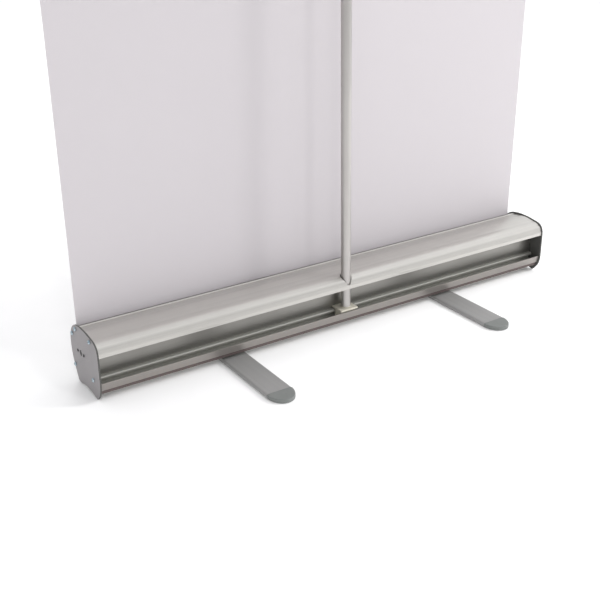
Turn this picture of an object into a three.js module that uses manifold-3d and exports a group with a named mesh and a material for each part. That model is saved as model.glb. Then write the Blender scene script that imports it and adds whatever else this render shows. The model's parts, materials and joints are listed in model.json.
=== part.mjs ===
// Roll-up banner stand: an aluminium cassette with a sprung roller, a white banner that unrolls
// upwards, a three-section telescopic mast that holds it up, and two feet that swing out.
// Millimetres. +X runs along the cassette, +Y points to the rear, where the mast is, +Z is up.
// The origin is on the floor, midway between the pivots of the two feet.
import * as THREE from 'three';
import { mergeVertices } from 'three/addons/utils/BufferGeometryUtils.js';
import Module from 'manifold-3d';

const wasm = await Module();
wasm.setup();

// ---------------------------------------------------------------- driving dimensions
const GAP = 0.3; // between pieces that touch
const ARC_STEP = 2; // longest chord on the cassette's curved skin

// cassette
const CASSETTE_LENGTH = 858; // between the end plates' inner faces
const WALL = 1.8;
const UNDERSIDE_Z = 18.5;
const REAR_Y = 49.5; // rear face of the shoulder
const SHOULDER_EDGE_Z = 71.5; // lower edge of the shoulder, above the open recess
const LIP_TOP_Z = 31;
const WEB_Y = 24; // wall between the roller chamber and the recess
const LEDGE = { reach: 28.2, bottom: 30.2, top: 32.4 }; // along the web, above the recess floor
const REED_EDGES = [20, 58, 73, 84, 92.6]; // along the shoulder from the slot
const REED_DEPTH = 0.6; // of the valleys between the reeds
const SLOT_BEAD = [-22.6, 91.9, 1.6]; // y, z, radius
const SKIRT = { rear: 41, front: 42.8, bottom: 12.4 }; // flange under the recess floor
const PORT_RADIUS = 3.3; // round beads that take the end-plate screws
const PORT_HOLE_RADIUS = 2.1;
const SCREW_PORTS = [[-27.4, 88.2], [-41.8, 76], [26, 89.2], [-41, 25.6], [27.2, 29.2]];

// end plates and their screws
const PLATE_THICKNESS = 2.5;
const PLATE_HOLE_RADIUS = 2.1;
const SCREW_HEAD_RADIUS = 3.3;
const SCREW_HEAD_HEIGHT = 2.2;
const SCREW_SHANK_RADIUS = 1.75;
const SCREW_LENGTH = 12;

// roller
const ROLLER_Y = -14;
const ROLLER_Z = 55;
const ROLLER_RADIUS = 16;
const ROLLER_BORE = 14.6;
const ROLLER_LENGTH = 849;
const SHAFT_RADIUS = 4;
const SHAFT_LENGTH = 232;
const IDLER_RADIUS = 3;
const IDLER_LENGTH = 34;
const BRACKET_THICKNESS = 2.2;
const RIVET_SPACING = 22;
const SPRING_RADIUS = 9;
const SPRING_WIRE = 1.1;
const SPRING_TURNS = 12;
const SPRING_PITCH = 13;

// banner and the rail along its top edge
const BANNER_WIDTH = 852;
const BANNER_THICKNESS = 0.4;
const BANNER_Y = -36;
const SLOT_Z = 90;
const ROLL_RADIUS = 17; // the last wraps, which stay on the roller
const RAIL_BOTTOM_Z = 2058;
const RAIL_HEIGHT = 30;
const RAIL_DEPTH = 12;
const RAIL_CLAMP_DEPTH = 19; // how far the banner reaches into the rail
const RAIL_CAP_THICKNESS = 3;

// mast, measured along its own axis from its foot
const MAST_Y = 39.8;
const MAST_FOOT_Z = 39.6;
const MAST_LEAN = THREE.MathUtils.degToRad(0.8); // forwards, towards the banner
const MAST_HOLE_RADIUS = 9.6; // in the shoulder
const LOWER = { outer: 8, inner: 7.1, from: 0, to: 700 };
const MIDDLE = { outer: 6.5, inner: 5.8, from: 630, to: 1370 };
const UPPER = { outer: 5.5, inner: 4.8, from: 1300, to: 2019.2 };
const COLLAR_HEIGHT = 44;
const COLLAR_OVERLAP = 22; // how much of the larger tube a collar covers
const COLLAR_FLUTES = 12;
const SOCKET = { half: 16, front: 24.4, rear: 51, bottom: 20.7, top: 37.2, plate: 2.5 };
const PLUG_RADIUS = 4.8; // of the mast's foot, in the socket

// feet
const FOOT_PIVOT_X = 208;
const FOOT_LENGTH = 390;
const FOOT_WIDTH = 43;
const FOOT_HEIGHT = 7;
const FOOT_WALL = 1.5;
const FOOT_CAP = 28; // length of each plastic end
const SPACER_RADIUS = 12;
const PIVOT_SCREW_RADIUS = 3;

// ---------------------------------------------------------------- materials
const satinAluminium = new THREE.MeshStandardMaterial({ color: 0xc4c3c0, roughness: 0.38, metalness: 0.9 });
const plateGrey = new THREE.MeshStandardMaterial({ color: 0xa7a4a5, roughness: 0.5, metalness: 0.6 });
const zinc = new THREE.MeshStandardMaterial({ color: 0xbcc6cc, roughness: 0.3, metalness: 1 });
const steel = new THREE.MeshStandardMaterial({ color: 0x9a9a98, roughness: 0.4, metalness: 1 });
const footSilver = new THREE.MeshStandardMaterial({ color: 0xa3a2a0, roughness: 0.45, metalness: 0.75 });
const greyPlastic = new THREE.MeshStandardMaterial({ color: 0x858989, roughness: 0.55, metalness: 0 });
const palePlastic = new THREE.MeshStandardMaterial({ color: 0xb9b3a2, roughness: 0.5, metalness: 0 });
const blackPlastic = new THREE.MeshStandardMaterial({ color: 0x2a2b2c, roughness: 0.5, metalness: 0 });
const bannerFilm = new THREE.MeshStandardMaterial({ color: 0xe6e3ea, roughness: 0.7, metalness: 0 });

// ---------------------------------------------------------------- geometry helpers
const ALONG_X = new THREE.Matrix4().makeBasis(
  new THREE.Vector3(0, 1, 0), new THREE.Vector3(0, 0, 1), new THREE.Vector3(1, 0, 0));

const vec = (x, y) => new THREE.Vector2(x, y);

// a section drawn as (y, z), swept along X from x0 to x1
function sweepX(shape, x0, x1, curveSegments = 16) {
  const geometry = new THREE.ExtrudeGeometry(shape, { depth: x1 - x0, bevelEnabled: false, curveSegments });
  return geometry.translate(0, 0, x0).applyMatrix4(ALONG_X);
}

// an outline drawn as (x, y), raised along Z from z0 to z1
function raiseZ(shape, z0, z1, curveSegments = 16) {
  const geometry = new THREE.ExtrudeGeometry(shape, { depth: z1 - z0, bevelEnabled: false, curveSegments });
  return geometry.translate(0, 0, z0);
}

// a solid of revolution about Z, from a profile of [radius, z] pairs
function turned(profile, segments = 24) {
  const points = profile.map(([radius, z]) => vec(radius, z));
  return new THREE.LatheGeometry(points, segments).rotateX(Math.PI / 2);
}

// a ring about Z between two radii
function ring(inner, outer, z0, z1, segments = 24) {
  return turned([[inner, z0], [outer, z0], [outer, z1], [inner, z1], [inner, z0]], segments);
}

function rod(radius, z0, z1, segments = 24) {
  return turned([[0, z0], [radius, z0], [radius, z1], [0, z1]], segments);
}

function turnToX(geometry, x, y, z, direction = 1) {
  return geometry.rotateY((direction * Math.PI) / 2).translate(x, y, z);
}

function box(x0, x1, y0, y1, z0, z1) {
  return new THREE.BoxGeometry(x1 - x0, y1 - y0, z1 - z0)
    .translate((x0 + x1) / 2, (y0 + y1) / 2, (z0 + z1) / 2);
}

function roundedRect(x0, x1, y0, y1, radius) {
  const shape = new THREE.Shape();
  shape.moveTo(x0 + radius, y0);
  shape.lineTo(x1 - radius, y0);
  shape.absarc(x1 - radius, y0 + radius, radius, -Math.PI / 2, 0);
  shape.lineTo(x1, y1 - radius);
  shape.absarc(x1 - radius, y1 - radius, radius, 0, Math.PI / 2);
  shape.lineTo(x0 + radius, y1);
  shape.absarc(x0 + radius, y1 - radius, radius, Math.PI / 2, Math.PI);
  shape.lineTo(x0, y0 + radius);
  shape.absarc(x0 + radius, y0 + radius, radius, Math.PI, 1.5 * Math.PI);
  return shape;
}

function circle(x, y, radius) {
  const path = new THREE.Shape();
  path.absarc(x, y, radius, 0, 2 * Math.PI);
  return path;
}

// unit normals of an open polyline, to its left
function leftNormals(points) {
  return points.map((point, i) => {
    const before = points[Math.max(i - 1, 0)];
    const after = points[Math.min(i + 1, points.length - 1)];
    const along = after.clone().sub(before).normalize();
    return vec(-along.y, along.x);
  });
}

// the section of a wall: an open polyline, thickened to its left with mitred corners
function wallShape(points, thickness) {
  const offset = points.map((point, i) => {
    const into = i > 0 ? point.clone().sub(points[i - 1]).normalize() : null;
    const out = i < points.length - 1 ? points[i + 1].clone().sub(point).normalize() : null;
    const a = into || out;
    const b = out || into;
    const normal = vec(-a.y - b.y, a.x + b.x).normalize();
    const mitre = thickness / normal.dot(vec(-a.y, a.x));
    return point.clone().addScaledVector(normal, mitre);
  });
  return new THREE.Shape([...points, ...offset.reverse()]);
}

// ---------------------------------------------------------------- joining and cutting
function toSolid(geometry) {
  const bare = geometry.clone();
  bare.deleteAttribute('normal');
  bare.deleteAttribute('uv');
  const merged = mergeVertices(bare, 1e-4);
  return new wasm.Manifold(new wasm.Mesh({
    numProp: 3,
    vertProperties: Float32Array.from(merged.attributes.position.array),
    triVerts: Uint32Array.from(merged.index.array),
  }));
}

function toGeometry(solid) {
  const mesh = solid.getMesh();
  const geometry = new THREE.BufferGeometry();
  geometry.setAttribute('position', new THREE.BufferAttribute(new Float32Array(mesh.vertProperties), 3));
  geometry.setIndex(new THREE.BufferAttribute(new Uint32Array(mesh.triVerts), 1));
  geometry.computeVertexNormals();
  return geometry;
}

function join(...geometries) {
  return toGeometry(geometries.map(toSolid).reduce((sum, solid) => sum.add(solid)));
}

function cut(geometry, ...tools) {
  return toGeometry(tools.map(toSolid).reduce((rest, tool) => rest.subtract(tool), toSolid(geometry)));
}

// ---------------------------------------------------------------- the assembly's groups
const bannerStand = new THREE.Group();
const mast = new THREE.Group();
mast.position.set(0, MAST_Y, MAST_FOOT_Z);
mast.rotation.x = MAST_LEAN;
bannerStand.add(mast);
mast.updateMatrix();

function place(name, geometry, material, group = bannerStand) {
  const mesh = new THREE.Mesh(geometry, material);
  mesh.name = name;
  group.add(mesh);
  return mesh;
}

const SIDES = [['left', 1], ['right', -1]]; // +X is the left side, seen from the rear

// ---------------------------------------------------------------- cassette
function curvePoints(points, closeTo = ARC_STEP) {
  const curve = new THREE.SplineCurve(points.map(([y, z]) => vec(y, z)));
  return curve.getSpacedPoints(Math.ceil(curve.getLength() / closeTo));
}

// broad lengthwise reeds with shallow valleys between them, on the shoulder's outer face
function reeded(points) {
  const normals = leftNormals(points);
  let travelled = 0;
  return points.map((point, i) => {
    travelled += i ? point.distanceTo(points[i - 1]) : 0;
    const reed = REED_EDGES.findLastIndex((edge) => travelled >= edge);
    if (reed < 0 || reed >= REED_EDGES.length - 1) return point.clone();
    const across = (travelled - REED_EDGES[reed]) / (REED_EDGES[reed + 1] - REED_EDGES[reed]);
    return point.clone().addScaledVector(normals[i], -REED_DEPTH * (1 - Math.sin(across * Math.PI)));
  });
}

function frontSkin() {
  const front = curvePoints([[-39.4, 84.6], [-46, 77], [-50.2, 66], [-51.4, 55], [-50, 42], [-46.6, 30], [-42.2, 21]], 4);
  const lower = [[-39.5, UNDERSIDE_Z], [45.6, UNDERSIDE_Z], [48.4, LIP_TOP_Z - 1], [48.2, LIP_TOP_Z]];
  return wallShape([...front, ...lower.map(([y, z]) => vec(y, z))], WALL);
}

function shoulderSkin() {
  const lead = [[REAR_Y, SHOULDER_EDGE_Z], [REAR_Y, 75], [48.6, 80.6], [45.2, 86.6], [39.5, 90.6],
    [30, 93], [15, 95.1], [2, 95.7], [-10, 94.3], [-20, 92.4], [-29.2, 91.8]];
  const fromSlot = curvePoints(lead.slice().reverse(), 1.25);
  return wallShape(reeded(fromSlot).reverse(), WALL);
}

function port([y, z]) {
  return sweepX(circle(y, z, PORT_RADIUS), -CASSETTE_LENGTH / 2 + GAP, CASSETTE_LENGTH / 2 - GAP, 7);
}

function portHole([y, z]) {
  return sweepX(circle(y, z, PORT_HOLE_RADIUS), -CASSETTE_LENGTH / 2, CASSETTE_LENGTH / 2, 5);
}

function cassetteBody() {
  const [x0, x1] = [-CASSETTE_LENGTH / 2 + GAP, CASSETTE_LENGTH / 2 - GAP];
  const web = wallShape([vec(WEB_Y, UNDERSIDE_Z + 0.5), vec(WEB_Y, 93.4)], WALL);
  const ledge = wallShape([vec(WEB_Y - 1, LEDGE.bottom), vec(LEDGE.reach, LEDGE.bottom)], LEDGE.top - LEDGE.bottom);
  const skins = [frontSkin(), shoulderSkin(), web, ledge].map((shape) => sweepX(shape, x0, x1, 4));
  skins.push(sweepX(circle(...SLOT_BEAD), x0, x1, 6), box(x0, x1, SKIRT.rear, SKIRT.front, SKIRT.bottom, UNDERSIDE_Z + 1));
  const mastHole = rod(MAST_HOLE_RADIUS, 31, 73, 28).applyMatrix4(mast.matrix);
  const pivotHoles = SIDES.map(([, sign]) => rod(PIVOT_SCREW_RADIUS + 0.4, 10, 25).translate(sign * FOOT_PIVOT_X, 0, 0));
  return cut(join(...skins, ...SCREW_PORTS.map(port)), ...SCREW_PORTS.map(portHole), mastHole, ...pivotHoles);
}

place('cassette_body', cassetteBody(), satinAluminium);

// ---------------------------------------------------------------- end plates and screws
function plateOutline() {
  const outline = new THREE.Shape();
  outline.moveTo(33, 0.8);
  outline.quadraticCurveTo(36, 0.8, 38, 2.8);
  outline.lineTo(45.2, 11.5);
  outline.quadraticCurveTo(50.6, 20, 50.6, 34);
  outline.lineTo(50.6, 74);
  outline.quadraticCurveTo(50.6, 90.6, 35, 93.4);
  outline.splineThru([vec(15, 96.2), vec(0, 97), vec(-13, 96.8), vec(-27, 94.8)]);
  outline.quadraticCurveTo(-38, 92, -45.8, 81);
  outline.splineThru([vec(-50.9, 69), vec(-52.5, 56), vec(-51.2, 42), vec(-47.6, 29), vec(-42.2, 16)]);
  outline.lineTo(-36, 3.4);
  outline.quadraticCurveTo(-34.6, 0.8, -31.6, 0.8);
  outline.lineTo(-25, 0.8);
  outline.quadraticCurveTo(0, 7.6, 24, 3);
  outline.lineTo(33, 0.8);
  return outline;
}

function endPlate(sign) {
  const outline = plateOutline();
  const shaftHole = circle(ROLLER_Y, ROLLER_Z, SHAFT_RADIUS + GAP);
  const rivetHoles = [-1, 1].map((side) => circle(ROLLER_Y + (side * RIVET_SPACING) / 2, ROLLER_Z, 1.8));
  outline.holes = [shaftHole, ...rivetHoles, ...SCREW_PORTS.map(([y, z]) => circle(y, z, PLATE_HOLE_RADIUS))];
  const inner = CASSETTE_LENGTH / 2;
  const [x0, x1] = sign > 0 ? [inner, inner + PLATE_THICKNESS] : [-inner - PLATE_THICKNESS, -inner];
  return sweepX(outline, x0, x1, 8);
}

// a pan-head screw with a crosshead recess, along +Z, its head's underside at z = 0
function panScrew() {
  const body = turned([[0, -SCREW_LENGTH], [1.2, -SCREW_LENGTH], [SCREW_SHANK_RADIUS, -SCREW_LENGTH + 1],
    [SCREW_SHANK_RADIUS, 0], [SCREW_HEAD_RADIUS, 0], [SCREW_HEAD_RADIUS, 0.8],
    [SCREW_HEAD_RADIUS * 0.8, SCREW_HEAD_HEIGHT * 0.8], [SCREW_HEAD_RADIUS * 0.45, SCREW_HEAD_HEIGHT], [0, SCREW_HEAD_HEIGHT]], 12);
  const slots = [box(-1.9, 1.9, -0.35, 0.35, 1.2, 4), box(-0.35, 0.35, -1.9, 1.9, 1.2, 4)];
  return cut(body, join(...slots));
}

for (const [side, sign] of SIDES) {
  place(`end_plate_${side}`, endPlate(sign), plateGrey);
  SCREW_PORTS.forEach(([y, z], i) => {
    const faceX = sign * (CASSETTE_LENGTH / 2 + PLATE_THICKNESS + GAP);
    const screw = turnToX(panScrew().rotateZ(i * 0.9), faceX, y, z, sign);
    place(`plate_screw_${side}_${i + 1}`, screw, zinc);
  });
}

// ---------------------------------------------------------------- roller, its shaft and its spring
function shaftBracket(sign) {
  const outline = roundedRect(ROLLER_Y - 16, ROLLER_Y + 16, ROLLER_Z - 9, ROLLER_Z + 9, 4);
  const rivetHoles = [-1, 1].map((side) => circle(ROLLER_Y + (side * RIVET_SPACING) / 2, ROLLER_Z, 1.8));
  const shaftRadius = sign > 0 ? SHAFT_RADIUS : IDLER_RADIUS;
  outline.holes = [circle(ROLLER_Y, ROLLER_Z, shaftRadius + GAP), ...rivetHoles];
  const outer = CASSETTE_LENGTH / 2 - GAP;
  const [x0, x1] = sign > 0 ? [outer - BRACKET_THICKNESS, outer] : [-outer, -outer + BRACKET_THICKNESS];
  return sweepX(outline, x0, x1, 8);
}

// a flanged plug in the end of the roller tube, turning on the shaft or the idler pin
function rollerPlug(bore) {
  const end = ROLLER_LENGTH / 2;
  const length = 20;
  return turned([[bore, end - length], [ROLLER_BORE - GAP, end - length], [ROLLER_BORE - GAP, end + GAP],
    [ROLLER_RADIUS, end + GAP], [ROLLER_RADIUS, end + 1.4], [bore, end + 1.4], [bore, end - length]]);
}

function springCoil() {
  const turns = [];
  const steps = SPRING_TURNS * 10;
  for (let i = 0; i <= steps; i += 1) {
    const angle = (i / 10) * 2 * Math.PI;
    turns.push(new THREE.Vector3(SPRING_RADIUS * Math.cos(angle), SPRING_RADIUS * Math.sin(angle), (i / 10) * SPRING_PITCH));
  }
  const path = new THREE.CatmullRomCurve3(turns);
  return new THREE.ExtrudeGeometry(circle(0, 0, SPRING_WIRE), { steps, extrudePath: path, curveSegments: 3, bevelEnabled: false });
}

const plateOuterX = CASSETTE_LENGTH / 2 + PLATE_THICKNESS;
place('spring_shaft', turnToX(rod(SHAFT_RADIUS, -SHAFT_LENGTH, -GAP, 16), plateOuterX, ROLLER_Y, ROLLER_Z), steel);
place('idler_pin', turnToX(rod(IDLER_RADIUS, -IDLER_LENGTH, -GAP, 16), -plateOuterX, ROLLER_Y, ROLLER_Z, -1), steel);
for (const [side, sign] of SIDES) {
  const bore = (sign > 0 ? SHAFT_RADIUS : IDLER_RADIUS) + GAP;
  place(`roller_plug_${side}`, turnToX(rollerPlug(bore), 0, ROLLER_Y, ROLLER_Z, sign), blackPlastic);
  place(`shaft_bracket_${side}`, shaftBracket(sign), steel);
  for (const [name, offset] of [['front', -RIVET_SPACING / 2], ['rear', RIVET_SPACING / 2]]) {
    const rivet = turned([[0, -5], [1.5, -5], [1.5, GAP], [2.6, GAP], [1.6, 1.2], [0, 1.2]], 12);
    place(`bracket_rivet_${side}_${name}`, turnToX(rivet, sign * plateOuterX, ROLLER_Y + offset, ROLLER_Z, sign), steel);
  }
}
place('roller_tube', turnToX(ring(ROLLER_BORE, ROLLER_RADIUS, -ROLLER_LENGTH / 2, ROLLER_LENGTH / 2), 0, ROLLER_Y, ROLLER_Z),
  satinAluminium);
place('torsion_spring', turnToX(springCoil(), 236, ROLLER_Y, ROLLER_Z), steel);

// ---------------------------------------------------------------- banner
const rollWraps = ring(ROLLER_RADIUS + GAP, ROLL_RADIUS, -BANNER_WIDTH / 2 + 1, BANNER_WIDTH / 2 - 1, 32);
place('banner_roll', turnToX(rollWraps, 0, ROLLER_Y, ROLLER_Z), bannerFilm);

const bannerTopZ = RAIL_BOTTOM_Z + RAIL_CLAMP_DEPTH;
const tailY = ROLLER_Y - ROLL_RADIUS - BANNER_THICKNESS - 0.5;
const bannerPath = [vec(tailY, ROLLER_Z + 2), vec(BANNER_Y, SLOT_Z), vec(BANNER_Y, bannerTopZ)];
place('banner', sweepX(wallShape(bannerPath, BANNER_THICKNESS), -BANNER_WIDTH / 2, BANNER_WIDTH / 2), bannerFilm);

// ---------------------------------------------------------------- top rail and its hook
const railFront = BANNER_Y - RAIL_DEPTH / 2 + 0.4;
const railRear = railFront + RAIL_DEPTH;
const railTopZ = RAIL_BOTTOM_Z + RAIL_HEIGHT;

function railOutline() {
  return roundedRect(railFront, railRear, RAIL_BOTTOM_Z, railTopZ, 3);
}

// open below for the banner's edge and its clamping strip, hollow above
function topRail() {
  const outline = railOutline();
  outline.holes = [roundedRect(railFront + 2, railRear - 2, railTopZ - 9.5, railTopZ - 2, 1.5)];
  const slot = box(-500, 500, BANNER_Y - 1.2, BANNER_Y + 2, RAIL_BOTTOM_Z - 1, bannerTopZ + 0.8);
  const screwHoles = [-1, 1].map((side) => rod(1.8, 0, 8, 12).rotateX(Math.PI / 2)
    .translate(side * 17, railRear + 1, railTopZ - 15));
  return cut(sweepX(outline, -BANNER_WIDTH / 2, BANNER_WIDTH / 2, 4), slot, ...screwHoles);
}

function railCap(sign) {
  const end = BANNER_WIDTH / 2 + GAP;
  const plug = roundedRect(railFront + 2.4, railRear - 2.4, railTopZ - 9.1, railTopZ - 2.4, 1.2);
  const [x0, x1] = sign > 0 ? [end, end + RAIL_CAP_THICKNESS] : [-end - RAIL_CAP_THICKNESS, -end];
  const [p0, p1] = sign > 0 ? [end - 14, end + 1] : [-end - 1, -end + 14];
  return join(sweepX(railOutline(), x0, x1, 4), sweepX(plug, p0, p1, 4));
}

// the arm behind the rail whose blind hole drops over the tip of the mast
const mastTop = new THREE.Vector3(0, 0, UPPER.to).applyMatrix4(mast.matrix);

function railHook() {
  const flange = box(-23, 23, railRear + GAP, railRear + GAP + 3, RAIL_BOTTOM_Z + 1, railTopZ - 1);
  const arm = roundedRect(-9.5, 9.5, railRear + GAP + 1, mastTop.y + 10, 5);
  const tipHole = rod(UPPER.inner + GAP, UPPER.to - 10, UPPER.to + 21).applyMatrix4(mast.matrix);
  const screwHoles = [-1, 1].map((side) => rod(1.8, -10, 10, 12).rotateX(Math.PI / 2)
    .translate(side * 17, railRear, railTopZ - 15));
  return cut(join(flange, raiseZ(arm, RAIL_BOTTOM_Z + 2, railTopZ - 2, 3)), tipHole, ...screwHoles);
}

function hookScrew(side) {
  const screw = turned([[0, -7], [1.5, -7], [1.5, GAP], [2.8, GAP], [2.8, 1], [1.6, 2], [0, 2]], 12);
  return screw.rotateX(-Math.PI / 2).translate(side * 17, railRear + GAP + 3, railTopZ - 15);
}

place('top_rail', topRail(), satinAluminium);
place('rail_clamp_strip', box(-BANNER_WIDTH / 2 + 2, BANNER_WIDTH / 2 - 2, BANNER_Y + 0.4, BANNER_Y + 1.6,
  RAIL_BOTTOM_Z + 1, bannerTopZ), greyPlastic);
place('rail_hook', railHook(), blackPlastic);
for (const [side, sign] of SIDES) {
  place(`rail_cap_${side}`, railCap(sign), blackPlastic);
  place(`hook_screw_${side}`, hookScrew(sign), zinc);
}

// ---------------------------------------------------------------- mast socket in the recess
// a block between the web's ledge and the lip, under a plate that overhangs the lip
function mastSocket() {
  const under = SOCKET.top - SOCKET.plate;
  const [portY, portZ] = SCREW_PORTS[4];
  const block = new THREE.Shape([[portY + PORT_RADIUS + 0.5, SOCKET.bottom], [43.6, SOCKET.bottom], [45.6, 30.2],
    [45.6, under + 0.5], [SOCKET.front, under + 0.5], [SOCKET.front, LEDGE.top + GAP], [LEDGE.reach + 0.5, LEDGE.top + GAP],
    [LEDGE.reach + 0.5, portZ + PORT_RADIUS + 0.5], [portY + PORT_RADIUS + 0.5, portZ + PORT_RADIUS + 0.5]]
    .map(([y, z]) => vec(y, z)));
  const plate = new THREE.Shape([[SOCKET.front, under], [SOCKET.rear, under], [SOCKET.rear, SOCKET.top - 0.7],
    [SOCKET.rear - 0.7, SOCKET.top], [SOCKET.front, SOCKET.top]].map(([y, z]) => vec(y, z)));
  const foot = box(-SOCKET.half, SOCKET.half, portY + PORT_RADIUS + 1, 43, SOCKET.bottom, 27);
  const footHole = rod(PLUG_RADIUS + 0.4, -7.5, 4).applyMatrix4(mast.matrix);
  const body = join(sweepX(block, 1.6 - SOCKET.half, SOCKET.half - 1.6), sweepX(plate, -SOCKET.half, SOCKET.half), foot);
  return cut(body, footHole);
}

place('mast_socket', mastSocket(), palePlastic);

// ---------------------------------------------------------------- telescopic mast
function tube({ inner, outer, from, to }) {
  return ring(inner, outer, from, to, 28);
}

// a fluted twist collar that covers the end of one tube and grips the next
function twistCollar(larger, smaller) {
  const outline = new THREE.Shape();
  const points = 4 * COLLAR_FLUTES;
  for (let i = 0; i < points; i += 1) {
    const angle = (i / points) * 2 * Math.PI;
    const radius = larger.outer + 3.2 - (i % 4 === 0 ? 0.8 : 0);
    const at = [radius * Math.cos(angle), radius * Math.sin(angle)];
    if (i) outline.lineTo(...at);
    else outline.moveTo(...at);
  }
  const bottom = larger.to - COLLAR_OVERLAP;
  const top = bottom + COLLAR_HEIGHT;
  const largeBore = rod(larger.outer + GAP, bottom - 1, larger.to + GAP);
  const smallBore = rod(smaller.outer + GAP, bottom, top + 1);
  const cone = turned([[larger.outer + 5, top - 5], [larger.outer + 5, top + 1], [smaller.outer + 1.2, top + 1],
    [smaller.outer + 1.2, top], [larger.outer + 3.4, top - 5], [larger.outer + 5, top - 5]], 24);
  return cut(raiseZ(outline, bottom, top), largeBore, smallBore, cone);
}

// a plastic plug in the foot of a sliding tube, which guides it inside the larger one
function guideBush(larger, smaller) {
  const foot = smaller.from;
  return turned([[0, foot - 14], [larger.inner - 0.2, foot - 14], [larger.inner - 0.2, foot - GAP],
    [smaller.inner - 0.2, foot - GAP], [smaller.inner - 0.2, foot + 10], [0, foot + 10]]);
}

place('mast_foot_plug', turned([[0, -7], [PLUG_RADIUS - 0.8, -7], [PLUG_RADIUS, -6.2], [PLUG_RADIUS, -2.1], [7.5, -2.1], [7.5, -GAP],
  [LOWER.inner - 0.2, -GAP], [LOWER.inner - 0.2, 12], [0, 12]]), palePlastic, mast);
place('mast_lower_tube', tube(LOWER), satinAluminium, mast);
place('lower_collar', twistCollar(LOWER, MIDDLE), blackPlastic, mast);
place('mast_middle_tube', tube(MIDDLE), satinAluminium, mast);
place('middle_guide_bush', guideBush(LOWER, MIDDLE), blackPlastic, mast);
place('upper_collar', twistCollar(MIDDLE, UPPER), blackPlastic, mast);
place('mast_upper_tube', tube(UPPER), satinAluminium, mast);
place('upper_guide_bush', guideBush(MIDDLE, UPPER), blackPlastic, mast);
place('mast_tip', turned([[0, UPPER.to - 20], [UPPER.inner - 0.2, UPPER.to - 20], [UPPER.inner - 0.2, UPPER.to + 14],
  [3, UPPER.to + 20], [0, UPPER.to + 20]]), blackPlastic, mast);

// ---------------------------------------------------------------- feet
function footSection(inset) {
  const [half, height] = [FOOT_WIDTH / 2 - inset, FOOT_HEIGHT - inset];
  return roundedRect(-half, half, inset, height, Math.min(3, (height - inset) / 2 - 0.01));
}

// a section drawn as (x, z), swept along Y from y0 to y1
function sweepY(shape, y0, y1, curveSegments) {
  return raiseZ(shape, 0, y1 - y0, curveSegments).rotateX(Math.PI / 2).translate(0, y1, 0);
}

function footBar() {
  const outline = footSection(0);
  outline.holes = [footSection(FOOT_WALL)];
  const half = FOOT_LENGTH / 2 - FOOT_CAP;
  const headAccess = rod(7, -1, FOOT_HEIGHT / 2, 20);
  const shankHole = rod(PIVOT_SCREW_RADIUS + GAP, 0, FOOT_HEIGHT + 1, 20);
  return cut(sweepY(outline, -half, half, 3), headAccess, shankHole);
}

// the D-shaped plastic end, with a tongue that fills the bar's hollow
function footCap(sign) {
  const [join0, tip] = [FOOT_LENGTH / 2 - FOOT_CAP + GAP, FOOT_LENGTH / 2];
  const half = FOOT_WIDTH / 2;
  const outline = new THREE.Shape();
  outline.moveTo(-half, join0);
  outline.lineTo(half, join0);
  outline.bezierCurveTo(half, join0 + 13, half * 0.62, tip, 0, tip);
  outline.bezierCurveTo(-half * 0.62, tip, -half, join0 + 13, -half, join0);
  const crown = new THREE.ExtrudeGeometry(outline, {
    depth: FOOT_HEIGHT - 3, bevelThickness: 1.5, bevelSize: 1.5, bevelOffset: -1.5, bevelSegments: 2, curveSegments: 10,
  }).translate(0, 0, 1.5);
  const trimmed = cut(crown, box(-50, 50, join0 - 10, join0 + 1.5, -1, FOOT_HEIGHT + 1));
  const neck = sweepY(footSection(0), join0, join0 + 3, 3);
  const tongue = sweepY(footSection(FOOT_WALL + 0.4), join0 - 16, join0 + 2, 3);
  return join(trimmed, neck, tongue).rotateZ(sign > 0 ? 0 : Math.PI);
}

for (const [side, sign] of SIDES) {
  const foot = new THREE.Group();
  foot.position.x = sign * FOOT_PIVOT_X;
  bannerStand.add(foot);
  place(`foot_bar_${side}`, footBar(), footSilver, foot);
  place(`foot_cap_${side}_rear`, footCap(1), greyPlastic, foot);
  place(`foot_cap_${side}_front`, footCap(-1), greyPlastic, foot);
  place(`foot_spacer_${side}`, ring(PIVOT_SCREW_RADIUS + GAP, SPACER_RADIUS, FOOT_HEIGHT + GAP, UNDERSIDE_Z - GAP), blackPlastic, foot);
  place(`foot_pivot_screw_${side}`, turned([[0, 2.2], [5.4, 2.2], [5.4, FOOT_HEIGHT - FOOT_WALL - GAP],
    [PIVOT_SCREW_RADIUS, FOOT_HEIGHT - FOOT_WALL - GAP], [PIVOT_SCREW_RADIUS, UNDERSIDE_Z + WALL + 7], [0, UNDERSIDE_Z + WALL + 7]], 16),
    zinc, foot);
  const nutBottom = UNDERSIDE_Z + WALL + GAP;
  const nut = cut(rod(5.6, nutBottom, nutBottom + 5, 6), rod(PIVOT_SCREW_RADIUS + GAP, nutBottom - 1, nutBottom + 6, 20));
  place(`foot_pivot_nut_${side}`, nut, zinc, foot);
}

export default bannerStand;
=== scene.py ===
"""Roll-up banner stand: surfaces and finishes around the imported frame."""

import json
import math
import random

import bmesh
import bpy
from mathutils import Matrix, Vector

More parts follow.
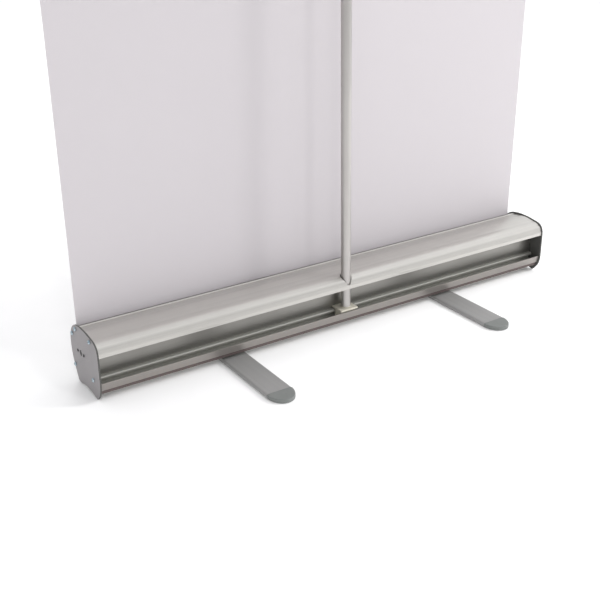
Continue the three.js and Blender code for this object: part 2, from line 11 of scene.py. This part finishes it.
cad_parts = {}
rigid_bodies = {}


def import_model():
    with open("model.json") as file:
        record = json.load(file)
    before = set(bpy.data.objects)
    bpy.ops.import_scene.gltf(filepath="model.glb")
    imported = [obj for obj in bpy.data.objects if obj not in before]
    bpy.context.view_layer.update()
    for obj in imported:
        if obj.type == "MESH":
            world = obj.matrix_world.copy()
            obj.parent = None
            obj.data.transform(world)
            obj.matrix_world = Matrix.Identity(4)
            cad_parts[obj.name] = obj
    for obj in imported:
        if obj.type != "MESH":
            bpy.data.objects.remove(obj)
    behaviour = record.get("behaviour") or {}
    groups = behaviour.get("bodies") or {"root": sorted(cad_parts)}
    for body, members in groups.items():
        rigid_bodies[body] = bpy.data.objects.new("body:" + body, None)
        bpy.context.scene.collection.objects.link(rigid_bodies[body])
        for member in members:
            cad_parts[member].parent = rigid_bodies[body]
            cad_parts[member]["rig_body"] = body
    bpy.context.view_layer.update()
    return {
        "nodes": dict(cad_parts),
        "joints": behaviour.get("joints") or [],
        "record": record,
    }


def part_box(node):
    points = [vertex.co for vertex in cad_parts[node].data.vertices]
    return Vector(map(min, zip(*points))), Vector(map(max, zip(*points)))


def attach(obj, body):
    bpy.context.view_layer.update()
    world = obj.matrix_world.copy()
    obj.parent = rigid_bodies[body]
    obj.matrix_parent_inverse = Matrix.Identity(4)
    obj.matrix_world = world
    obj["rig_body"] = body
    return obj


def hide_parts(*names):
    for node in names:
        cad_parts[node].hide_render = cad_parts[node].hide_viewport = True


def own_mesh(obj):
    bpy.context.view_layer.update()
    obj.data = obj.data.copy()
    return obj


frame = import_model()
NODES = frame["nodes"]
MM = 0.001

# ------------------------------------------------------------------ camera
FOCAL_OVER_WIDTH = 1.65345
CAMERA_AT = (0.85772, 1.22848, 0.71555)
CAMERA_AZIMUTH = math.radians(32.911)
CAMERA_ELEVATION = math.radians(24.465)
CAMERA_ROLL = math.radians(0.567)
SENSOR = 36.0


def make_camera():
    data = bpy.data.cameras.new("camera")
    data.sensor_width = SENSOR
    data.lens = FOCAL_OVER_WIDTH * SENSOR
    data.clip_end = 60
    cam = bpy.data.objects.new("camera", data)
    az, el, roll = CAMERA_AZIMUTH, CAMERA_ELEVATION, CAMERA_ROLL
    forward = Vector((-math.sin(az) * math.cos(el), -math.cos(az) * math.cos(el), -math.sin(el)))
    right = forward.cross(Vector((0, 0, 1))).normalized()
    down = forward.cross(right)
    r = math.cos(roll) * right + math.sin(roll) * down
    d = -math.sin(roll) * right + math.cos(roll) * down
    turn = Matrix((r, -d, -forward)).transposed()
    cam.matrix_world = Matrix.Translation(CAMERA_AT) @ turn.to_4x4()
    bpy.context.scene.collection.objects.link(cam)
    bpy.context.scene.camera = cam


make_camera()


# ------------------------------------------------------------------ material building
NOISE_ROUGHNESS = 0.55


def scaled(tone, factor):
    return tuple(min(1, c * factor) for c in tone)


class Graph:
    """A short way to lay out one material's nodes."""

    def __init__(self, name, **shader):
        self.mat = bpy.data.materials.new(name)
        self.mat.use_nodes = True
        self.tree = self.mat.node_tree
        self.bsdf = self.tree.nodes["Principled BSDF"]
        self.coord = self.add("ShaderNodeTexCoord").outputs["Object"]
        self.height = None
        for key, value in shader.items():
            self.bsdf.inputs[key.replace("_", " ")].default_value = value

    def add(self, kind, **attributes):
        node = self.tree.nodes.new(kind)
        for key, value in attributes.items():
            setattr(node, key, value)
        return node

    def link(self, source, target):
        self.tree.links.new(source, target)

    def noise(self, scale, detail=3.0, stretch=(1, 1, 1)):
        """Noise in object space; scale is in cells per metre."""
        mapping = self.add("ShaderNodeMapping")
        mapping.inputs["Scale"].default_value = stretch
        self.link(self.coord, mapping.inputs["Vector"])
        tex = self.add("ShaderNodeTexNoise")
        tex.inputs["Scale"].default_value = scale
        tex.inputs["Detail"].default_value = detail
        tex.inputs["Roughness"].default_value = NOISE_ROUGHNESS
        self.link(mapping.outputs["Vector"], tex.inputs["Vector"])
        return tex.outputs["Fac"]

    def ramp(self, source, low, high, start=0.35, end=0.65):
        """Maps source from start..end to the values or colours low..high."""
        if isinstance(low, (int, float)):
            node = self.add("ShaderNodeMapRange")
            for key, value in (("From Min", start), ("From Max", end), ("To Min", low), ("To Max", high)):
                node.inputs[key].default_value = value
            self.link(source, node.inputs["Value"])
            return node.outputs["Result"]
        node = self.add("ShaderNodeValToRGB")
        node.color_ramp.elements[0].position = start
        node.color_ramp.elements[1].position = end
        node.color_ramp.elements[0].color = (*low, 1)
        node.color_ramp.elements[1].color = (*high, 1)
        self.link(source, node.inputs["Fac"])
        return node.outputs["Color"]

    def mix(self, factor, a, b):
        node = self.add("ShaderNodeMix", data_type="RGBA")
        for socket, value in ((node.inputs[0], factor), (node.inputs[6], a), (node.inputs[7], b)):
            if hasattr(value, "is_linked"):
                self.link(value, socket)
            else:
                socket.default_value = value if isinstance(value, (int, float)) else (*value, 1)
        return node.outputs[2]

    def math(self, operation, a, b):
        node = self.add("ShaderNodeMath", operation=operation)
        for socket, value in zip(node.inputs, (a, b)):
            if hasattr(value, "is_linked"):
                self.link(value, socket)
            else:
                socket.default_value = value
        return node.outputs[0]

    def blend(self, a, share, b):
        """share of a and the rest of b."""
        return self.math("ADD", self.math("MULTIPLY", a, share), self.math("MULTIPLY", b, 1 - share))

    def colour(self, source):
        self.link(source, self.bsdf.inputs["Base Color"])

    def roughness(self, source):
        self.link(source, self.bsdf.inputs["Roughness"])

    def bump(self, source, depth_mm):
        node = self.add("ShaderNodeBump")
        node.inputs["Strength"].default_value = 1.0
        node.inputs["Distance"].default_value = depth_mm * MM
        self.link(source, node.inputs["Height"])
        if self.height is not None:
            self.link(self.height, node.inputs["Normal"])
        self.height = node.outputs["Normal"]
        self.link(self.height, self.bsdf.inputs["Normal"])


def drawn_metal(name, tone, along, roughness, streaks=1.0, metallic=0.92):
    """Anodised or plated metal, with die lines or brushing along one axis."""
    g = Graph(name, Metallic=metallic)
    stretch = tuple(0.004 if axis == along else 1.0 for axis in "xyz")
    lines = g.noise(scale=900, detail=4, stretch=stretch)
    broad = g.noise(scale=160, detail=2, stretch=stretch)
    cloud = g.noise(scale=14)
    dark, light = scaled(tone, 1 - 0.06 * streaks), scaled(tone, 1 + 0.055 * streaks)
    streaked = g.ramp(g.blend(lines, 0.55, broad), dark, light)
    g.colour(g.mix(g.ramp(cloud, 0.0, 0.22), streaked, scaled(tone, 0.93)))
    g.roughness(g.ramp(g.blend(lines, 0.5, cloud), roughness - 0.05, roughness + 0.05))
    g.bump(lines, depth_mm=0.012 * streaks)
    g.bump(g.noise(scale=2600, detail=2), depth_mm=0.006)
    return g.mat


def moulded_plastic(name, tone, roughness, grain_mm=0.03):
    """Plastic with the fine grain of its mould and a faint mottle."""
    g = Graph(name)
    speck = g.noise(scale=1500)
    cloud = g.noise(scale=30)
    g.colour(g.ramp(g.blend(speck, 0.4, cloud), scaled(tone, 1 - 0.05), scaled(tone, 1 + 0.05)))
    g.roughness(g.ramp(speck, roughness - 0.06, roughness + 0.06))
    g.bump(g.noise(scale=1100, detail=2), depth_mm=grain_mm)
    return g.mat


def painted_plate(name, tone):
    """Fine sprayed metallic paint with a faint orange-peel surface."""
    g = Graph(name, Metallic=0.35)
    fleck = g.noise(scale=2400, detail=2)
    cloud = g.noise(scale=22)
    g.colour(g.ramp(g.blend(fleck, 0.5, cloud), scaled(tone, 1 - 0.07), scaled(tone, 1 + 0.07)))
    g.roughness(g.ramp(fleck, 0.42, 0.54))
    g.bump(g.noise(scale=420, detail=2), depth_mm=0.02)
    g.bump(fleck, depth_mm=0.006)
    return g.mat


def zinc_plate(name):
    """Bright zinc plating with a bluish, slightly iridescent cast."""
    g = Graph(name, Metallic=1.0)
    patch = g.noise(scale=260)
    g.colour(g.ramp(patch, (0.27, 0.38, 0.46), (0.60, 0.69, 0.73), start=0.3, end=0.7))
    g.roughness(g.ramp(g.noise(scale=700), 0.2, 0.34))
    g.bump(g.noise(scale=1600, detail=2), depth_mm=0.01)
    return g.mat


def banner_film(name, tone):
    """Matt coated film with a fine even grain and broad, faint clouding."""
    g = Graph(name, Roughness=0.6, Specular_IOR_Level=0.35, Sheen_Weight=0.06, Sheen_Roughness=0.5)
    grain = g.noise(scale=3200, detail=2)
    cloud = g.noise(scale=3.2, detail=2, stretch=(1, 1, 0.35))
    g.colour(g.ramp(g.blend(grain, 0.35, cloud), scaled(tone, 0.985), scaled(tone, 1.01)))
    g.roughness(g.ramp(grain, 0.55, 0.66))
    g.bump(grain, depth_mm=0.008)
    return g.mat


# The extrusion's recess, lip, bead, flange and slot land have tones of their own, darker than the shoulder, which
# carry
# shade that falls there: painted shade in the recess, on the lip, the bead and the slot land, and a painted shadow
# on the flange under the lip.
anodised_x = drawn_metal("anodised_extrusion", (0.55, 0.535, 0.505), "x", 0.36, metallic=0.75)
anodised_z = drawn_metal("anodised_tube", (0.49, 0.472, 0.455), "z", 0.36, streaks=0.7)
foot_metal = drawn_metal("foot_extrusion", (0.355, 0.352, 0.345), "y", 0.55, metallic=0.4)
plain_steel = drawn_metal("plain_steel", (0.45, 0.45, 0.44), "z", 0.38, metallic=1.0)
recess_painted_shade = drawn_metal("recess_extrusion_painted_shade", (0.305, 0.298, 0.278), "x", 0.36, streaks=0.6, metallic=0.9)
lip_painted_shade = drawn_metal("lip_extrusion_painted_shade", (0.32, 0.298, 0.28), "x", 0.38, metallic=0.8)
bead_painted_shade = drawn_metal("bead_extrusion_painted_shade", (0.44, 0.435, 0.40), "x", 0.36, metallic=0.6)
# The flange under the lip: a dark brown painted shadow, standing in for the shadowed floor below the lip.
flange_painted_shadow = drawn_metal("skirt_extrusion_painted_shadow", (0.14, 0.112, 0.107), "x", 0.5, metallic=0.6)
# The land beside the slot: painted shade, the shadow line in the gap where the film leaves the cassette.
slot_painted_shade = drawn_metal("slot_land_painted_shade", (0.30, 0.29, 0.28), "x", 0.5)
plate_face = painted_plate("plate_face", (0.305, 0.288, 0.293))
# Dark steel for the rivets and the spring shaft; in the screw heads' recesses the same tone is painted shade.
dark_steel_and_recess_shade = drawn_metal("dark_steel_and_recess_shade", (0.07, 0.07, 0.07), "x", 0.45)
plate_edge = moulded_plastic("plate_edge", (0.075, 0.075, 0.07), 0.5, 0.02)
zinc = zinc_plate("zinc_plating")
cap_plastic = moulded_plastic("foot_cap_plastic", (0.178, 0.188, 0.180), 0.46)
socket_plastic = moulded_plastic("socket_plastic", (0.50, 0.475, 0.40), 0.42)
black_plastic = moulded_plastic("black_plastic", (0.028, 0.028, 0.03), 0.45)
grey_strip = moulded_plastic("grey_strip", (0.3, 0.31, 0.31), 0.5)
film = banner_film("banner_film", (0.508, 0.481, 0.497))

SLOT_MATERIAL = {
    "satin_aluminium": anodised_x, "plate_grey": plate_face, "zinc_plated_steel": zinc,
    "plain_steel": plain_steel, "foot_aluminium": foot_metal, "grey_plastic": cap_plastic,
    "pale_plastic": socket_plastic, "black_plastic": black_plastic, "banner_film": film,
}
NODE_SLOT = {s["node"]: s["material_slot"] for s in frame["record"]["subparts"]}


# ------------------------------------------------------------------ mesh helpers
WELD_DISTANCE = 1e-6
COPLANAR_ANGLE = 0.4  # degrees between faces that are merged as one
BEVELLED_ANGLE = 35  # degrees above which an edge is eased
SHARP_ANGLE = 32  # degrees above which shading isn't smoothed


def new_object(name, bm, material, node):
    """A piece that stands for one CAD node, on its body and in its material slot."""
    mesh = bpy.data.meshes.new(name)
    bmesh.ops.recalc_face_normals(bm, faces=bm.faces)
    bm.to_mesh(mesh)
    bm.free()
    mesh.materials.append(material)
    obj = bpy.data.objects.new(name, mesh)
    bpy.context.scene.collection.objects.link(obj)
    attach(obj, NODES[node]["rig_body"])
    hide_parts(node)
    return obj


def smooth(mesh, angle):
    for p in mesh.polygons:
        p.use_smooth = True
    mesh.set_sharp_from_angle(angle=math.radians(angle))


def apply_modifiers(obj):
    graph = bpy.context.evaluated_depsgraph_get()
    mesh = bpy.data.meshes.new_from_object(obj.evaluated_get(graph))
    obj.modifiers.clear()
    old, obj.data = obj.data, mesh
    mesh.name = old.name
    bpy.data.meshes.remove(old)


def refined(node, material, bevel_mm):
    """The node's own solid with its sharp edges eased and its curved faces shaded smooth."""
    bm = bmesh.new()
    bm.from_mesh(NODES[node].data)
    bmesh.ops.remove_doubles(bm, verts=bm.verts, dist=WELD_DISTANCE)
    bmesh.ops.dissolve_limit(bm, angle_limit=math.radians(COPLANAR_ANGLE), verts=bm.verts, edges=bm.edges)
    obj = new_object(f"fine_{node}", bm, material or SLOT_MATERIAL[NODE_SLOT[node]], node)
    if bevel_mm:
        bevel = obj.modifiers.new("edges", "BEVEL")
        bevel.width = bevel_mm * MM
        bevel.segments = 2
        bevel.limit_method = "ANGLE"
        bevel.angle_limit = math.radians(BEVELLED_ANGLE)
        apply_modifiers(obj)
    smooth(obj.data, SHARP_ANGLE)
    even = obj.modifiers.new("even_shading", "WEIGHTED_NORMAL")
    even.keep_sharp = True
    apply_modifiers(obj)


# ------------------------------------------------------------------ banner
SLOT_Y, SLOT_Z = -0.0362, 0.090  # where the film leaves the cassette
FILM_THICKNESS = 0.00028
ROLL_CLEARANCE = 0.0004
COLUMNS, ROWS = 72, 150
WAVES = 5
EDGE_CURL, RIPPLE = 0.0011, 0.00022  # how far the film leaves its plane


def ramp_up(z, start, length):
    return min(1, max(0, (z - start) / length))


def build_banner():
    """A tensioned film: flat across most of its width, with its free edges curling a little."""
    low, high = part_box("banner")
    width = high.x - low.x
    drift = high.y - SLOT_Y - ROLL_CLEARANCE  # sideways, from the slot down to the roll
    rng = random.Random(7)
    waves = [(rng.uniform(2.0, 9.0), rng.uniform(0, 6.28), rng.uniform(0.5, 1.0)) for _ in range(WAVES)]
    bm = bmesh.new()
    grid = []
    for r in range(ROWS + 1):
        z = low.z + (high.z - low.z) * (r / ROWS)
        base_y = SLOT_Y if z >= SLOT_Z else SLOT_Y + (SLOT_Z - z) / (SLOT_Z - low.z) * drift
        free = ramp_up(z, 0.12, 0.25) * ramp_up(-z, -2.03, 0.3)
        row = []
        for c in range(COLUMNS + 1):
            u = c / COLUMNS
            edge = abs(2 * u - 1) ** 10
            ripple = sum(a * math.sin(k * math.pi * u + p + 0.8 * math.sin(1.3 * z + p)) for k, p, a in waves)
            y = base_y + free * (EDGE_CURL * edge + RIPPLE * ripple)
            row.append(bm.verts.new((low.x + width * u, y, z)))
        grid.append(row)
    for r in range(ROWS):
        for c in range(COLUMNS):
            bm.faces.new((grid[r][c], grid[r][c + 1], grid[r + 1][c + 1], grid[r + 1][c]))
    obj = new_object("banner_sheet", bm, film, "banner")
    solid = obj.modifiers.new("thickness", "SOLIDIFY")
    solid.thickness = FILM_THICKNESS
    solid.offset = 0
    apply_modifiers(obj)
    smooth(obj.data, 60)
    joint = next(j for j in frame["joints"] if j["name"] == "mast_height")
    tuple(joint["axis"])
    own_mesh(obj)


build_banner()

# ------------------------------------------------------------------ nodes
OWN_MATERIAL = {"mast_lower_tube": anodised_z, "mast_middle_tube": anodised_z, "mast_upper_tube": anodised_z,
                "rail_clamp_strip": grey_strip}
OWN_MATERIAL.update({node: dark_steel_and_recess_shade for node in NODES if node.startswith(("bracket_rivet", "spring_shaft"))})
USUAL_BEVEL_MM = 0.2
BEVEL_MM = {"torsion_spring": 0.0, "banner_roll": 0.1, "cassette_body": 0.22, "mast_socket": 0.4, "top_rail": 0.4,
            "rail_hook": 0.6, "rail_cap_left": 0.5, "rail_cap_right": 0.5, "end_plate_left": 0.35,
            "end_plate_right": 0.35}
for node in sorted(NODES):
    if node != "banner":
        refined(node, OWN_MATERIAL.get(node), BEVEL_MM.get(node, USUAL_BEVEL_MM))


def paint_faces(piece, choose, *extra):
    """Gives faces other materials: choose(centre, normal) returns an index into [own, *extra]."""
    mesh = bpy.data.objects[piece].data
    for material in extra:
        mesh.materials.append(material)
    for p in mesh.polygons:
        p.material_index = choose(p.center, p.normal)


# Material indices of the cassette's faces, and the limits of its zones in section, in metres.
OWN, WEB, LIP, SLOT_LAND, SKIRT, BEAD = range(6)
LAND_Y, LAND_Z = -0.0245, 0.088
SKIRT_REAR_Y, SKIRT_FRONT_Y, SKIRT_TOP = 0.0405, 0.0434, 0.0195
LIP_Y, LIP_TOP, LIP_INSIDE = 0.0425, 0.033, -0.2
BEAD_Y = 0.0238
WEB_Y, WEB_TOP, WEB_END_Y = 0.021, 0.0845, 0.0445


# Every zone but OWN takes painted light: painted shade in the recess, on the lip, the bead and the slot land, and a
# painted shadow on the flange (SKIRT).
def cassette_painted_shade_zone(centre, normal):
    y, z = centre.y, centre.z
    if y < LAND_Y and z > LAND_Z:
        return SLOT_LAND
    if SKIRT_REAR_Y < y < SKIRT_FRONT_Y and z < SKIRT_TOP:
        return SKIRT
    if y > LIP_Y and z < LIP_TOP and normal.y > LIP_INSIDE:
        return LIP
    if y > BEAD_Y and z < LIP_TOP:
        return BEAD
    if y > WEB_Y and z < WEB_TOP and (y < WEB_END_Y or z < LIP_TOP):
        return WEB
    return OWN


# A pan head's recess, in millimetres; heights are above the underside of the head.
HEAD_HEIGHT = 2.2
RECESS_RADIUS = 2.1
RECESS_LOWEST, RECESS_BED_TOP = 0.9, 1.5


def screw_recess_painted_shade(sign, axis, head_x):
    """The crosshead recess of a pan head, whose walls and bed are painted dark as the shade that falls in it."""
    def choose(centre, normal):
        radius = math.hypot(centre.y - axis[0], centre.z - axis[1]) / MM
        height = sign * (centre.x - head_x) / MM
        wall = abs(normal.x) < 0.3
        bed = abs(normal.x) > 0.9 and height < RECESS_BED_TOP
        return 1 if height > RECESS_LOWEST and radius < RECESS_RADIUS and (wall or bed) else 0
    return choose


def plate_edges(sign):
    """Everything but an end plate's outer face."""
    return lambda centre, normal: 0 if normal.x * sign > 0.8 else 1


# The cassette's zones take their painted shade and painted shadow tones, and the screws' recesses take painted
# shade.
paint_faces("fine_cassette_body", cassette_painted_shade_zone, recess_painted_shade, lip_painted_shade, slot_painted_shade, flange_painted_shadow, bead_painted_shade)
for side, sign in (("left", 1), ("right", -1)):
    for i in range(1, 6):
        low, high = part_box(f"plate_screw_{side}_{i}")
        head_x = sign * ((high.x if sign > 0 else -low.x) - HEAD_HEIGHT * MM)
        axis = ((low.y + high.y) / 2, (low.z + high.z) / 2)
        paint_faces(f"fine_plate_screw_{side}_{i}", screw_recess_painted_shade(sign, axis, head_x), dark_steel_and_recess_shade)
    paint_faces(f"fine_end_plate_{side}", plate_edges(sign), plate_edge)


# ------------------------------------------------------------------ studio
FLOOR_HALF_SIZE = 14
FLOOR_DROP = 0.0002
# Name, azimuth and elevation in degrees, distance and disk size in metres, watts, and the point that it faces.
LIGHTS = (
    ("side_soft", -62, 22, 1.9, 1.2, 21, (-0.25, 0, 0.5)),
    ("low_soft", 20, 5, 1.15, 1.0, 2.2, (0, 0, 0.1)),
    ("banner_side", 195, 20, 4.0, 2.0, 60, (0, 0, 1.0)),
    ("window_a", -59, 30, 3.5, 0.38, 24, (0, 0, 0.4)),
    ("window_b", -14, 38, 3.5, 0.38, 11, (0, 0, 0.4)),
    ("window_c", 22, 36, 3.5, 0.38, 11, (0, 0, 0.4)),
)
# Axis, the far end of its range, and the brightness at the middle and at that end.
SKY = (("Z", 1, 0.48, 1.18), ("X", -1, 0.80, 1.66))


def make_floor():
    bm = bmesh.new()
    bmesh.ops.create_grid(bm, x_segments=2, y_segments=2, size=FLOOR_HALF_SIZE)
    mesh = bpy.data.meshes.new("floor")
    bm.to_mesh(mesh)
    bm.free()
    floor = bpy.data.objects.new("floor", mesh)
    floor.location.z = -FLOOR_DROP
    g = Graph("floor", Roughness=0.75, Specular_IOR_Level=0.25)
    g.colour(g.ramp(g.noise(scale=6), (0.86, 0.857, 0.853), (0.885, 0.882, 0.878)))
    g.bsdf.inputs["Emission Color"].default_value = (1, 1, 1, 1)
    g.bsdf.inputs["Emission Strength"].default_value = 0.07
    mesh.materials.append(g.mat)
    bpy.context.scene.collection.objects.link(floor)


def area_light(name, azimuth, elevation, distance, size, power, target):
    az, el = math.radians(azimuth), math.radians(elevation)
    data = bpy.data.lights.new(name, "AREA")
    data.shape = "DISK"
    data.size = size
    data.energy = power
    light = bpy.data.objects.new(name, data)
    direction = Vector((math.sin(az) * math.cos(el), math.cos(az) * math.cos(el), math.sin(el)))
    light.location = Vector(target) + distance * direction
    light.rotation_euler = direction.to_track_quat("Z", "Y").to_euler()
    light.visible_camera = light.visible_glossy = False
    bpy.context.scene.collection.objects.link(light)


def make_studio():
    """A pale surround, brighter overhead and towards -X, with three broad soft lights and three small windows."""
    world = bpy.data.worlds.new("studio")
    world.use_nodes = True
    tree = world.node_tree
    background = tree.nodes["Background"]
    coord = tree.nodes.new("ShaderNodeTexCoord")
    split = tree.nodes.new("ShaderNodeSeparateXYZ")
    tree.links.new(coord.outputs["Generated"], split.inputs[0])
    product = tree.nodes.new("ShaderNodeMath")
    product.operation = "MULTIPLY"
    for i, (axis, far, low, high) in enumerate(SKY):
        rise = tree.nodes.new("ShaderNodeMapRange")
        rise.inputs["From Max"].default_value = far
        rise.inputs["To Min"].default_value = low
        rise.inputs["To Max"].default_value = high
        tree.links.new(split.outputs[axis], rise.inputs["Value"])
        tree.links.new(rise.outputs["Result"], product.inputs[i])
    tree.links.new(product.outputs[0], background.inputs["Strength"])
    background.inputs["Color"].default_value = (0.975, 0.98, 1.0, 1)
    bpy.context.scene.world = world
    for light in LIGHTS:
        area_light(*light)
    bpy.context.scene.view_settings.view_transform = "Standard"


make_floor()
make_studio()
